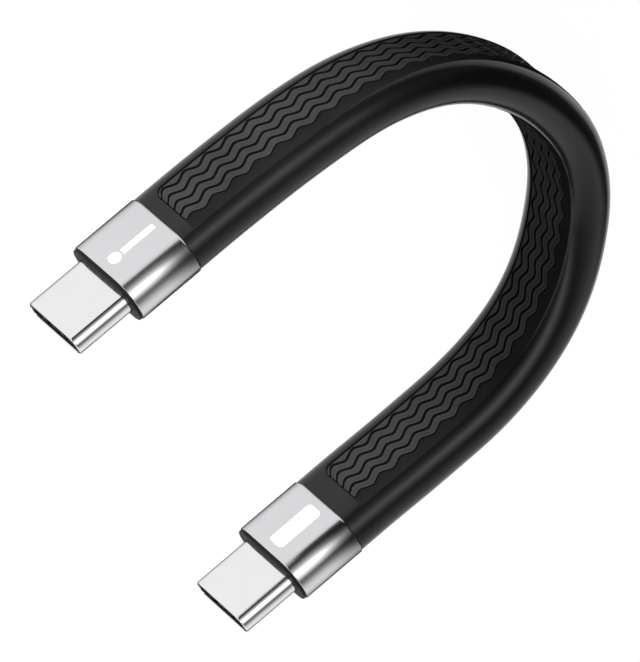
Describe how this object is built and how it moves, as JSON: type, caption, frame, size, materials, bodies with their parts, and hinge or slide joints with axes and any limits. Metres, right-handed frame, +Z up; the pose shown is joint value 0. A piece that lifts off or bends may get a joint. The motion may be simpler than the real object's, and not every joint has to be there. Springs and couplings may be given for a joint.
{
  "type": "short strap charging cable",
  "caption": "Short flat charging cable: a black silicone strap with wavy grooves, bent into a U, with an oval reversible plug in a metal collar at each end.",
  "frame": {"origin": "on the resting surface, midway between the two connectors and midway along their length", "axes": "+Z up, across the width of the strap, which stands on its side edge; the plugs point along -Y, the bend is at +Y, and connector b is at +X"},
  "size_m": [0.0496, 0.0546, 0.0106],
  "materials": {
    "plug_steel": "bright nickel plate",
    "contact_plastic": "moulded",
    "contact_gold": "gold plate",
    "spring_steel": "stamped",
    "card": "solder mask",
    "capacitor": "fired",
    "chip": "moulded",
    "shield_steel": "stamped",
    "mold_plastic": "moulded",
    "nose_plastic": "moulded",
    "collar_metal": "satin anodised",
    "ink": "printed",
    "silicone": "matt silicone",
    "flex_film": "film"
  },
  "bodies": {
    "connector_a": {"plug_shell_a": "plug_steel", "contact_housing_a": "contact_plastic", "contacts_top_a": "contact_gold", "contacts_bottom_a": "contact_gold", "ground_springs_a": "spring_steel", "paddle_card_a": "card", "card_capacitors_a": "capacitor", "shield_can_top_a": "shield_steel", "shield_can_bottom_a": "shield_steel", "inner_mold_a": "mold_plastic", "nose_plate_a": "nose_plastic", "collar_a": "collar_metal", "printed_mark_a": "ink", "strap_jacket_a": "silicone", "flex_circuit_a": "flex_film", "controller_chip_a": "chip"},
    "latch_left_a": {"latch_left_a": "spring_steel"},
    "latch_right_a": {"latch_right_a": "spring_steel"},
    "connector_b": {"plug_shell_b": "plug_steel", "contact_housing_b": "contact_plastic", "contacts_top_b": "contact_gold", "contacts_bottom_b": "contact_gold", "ground_springs_b": "spring_steel", "paddle_card_b": "card", "card_capacitors_b": "capacitor", "shield_can_top_b": "shield_steel", "shield_can_bottom_b": "shield_steel", "inner_mold_b": "mold_plastic", "nose_plate_b": "nose_plastic", "collar_b": "collar_metal", "printed_mark_b": "ink", "strap_jacket_b": "silicone", "flex_circuit_b": "flex_film"},
    "latch_left_b": {"latch_left_b": "spring_steel"},
    "latch_right_b": {"latch_right_b": "spring_steel"}
  },
  "joints": [
    {"name": "strap_flex", "type": "hinge", "parent": "connector_a", "child": "connector_b", "pos_m": [0.0004, 0.0453, 0.0053], "axis": [0, 0, 1], "range_deg": [-35, 90], "stiffness_Nm_per_rad": 0.003, "deforming": ["strap_jacket_a", "strap_jacket_b", "flex_circuit_a", "flex_circuit_b"]},
    {"name": "latch_left_a_swing", "type": "hinge", "parent": "connector_a", "child": "latch_left_a", "pos_m": [-0.0222, -0.0002, 0.00186], "axis": [1, 0, 0], "range_deg": [0, 3], "stiffness_Nm_per_rad": 0.3},
    {"name": "latch_right_a_swing", "type": "hinge", "parent": "connector_a", "child": "latch_right_a", "pos_m": [-0.0222, -0.0002, 0.00874], "axis": [-1, 0, 0], "range_deg": [0, 3], "stiffness_Nm_per_rad": 0.3},
    {"name": "latch_left_b_swing", "type": "hinge", "parent": "connector_b", "child": "latch_left_b", "pos_m": [0.0222, -0.0002, 0.00186], "axis": [1, 0, 0], "range_deg": [0, 3], "stiffness_Nm_per_rad": 0.3},
    {"name": "latch_right_b_swing", "type": "hinge", "parent": "connector_b", "child": "latch_right_b", "pos_m": [0.0222, -0.0002, 0.00874], "axis": [-1, 0, 0], "range_deg": [0, 3], "stiffness_Nm_per_rad": 0.3}
  ]
}
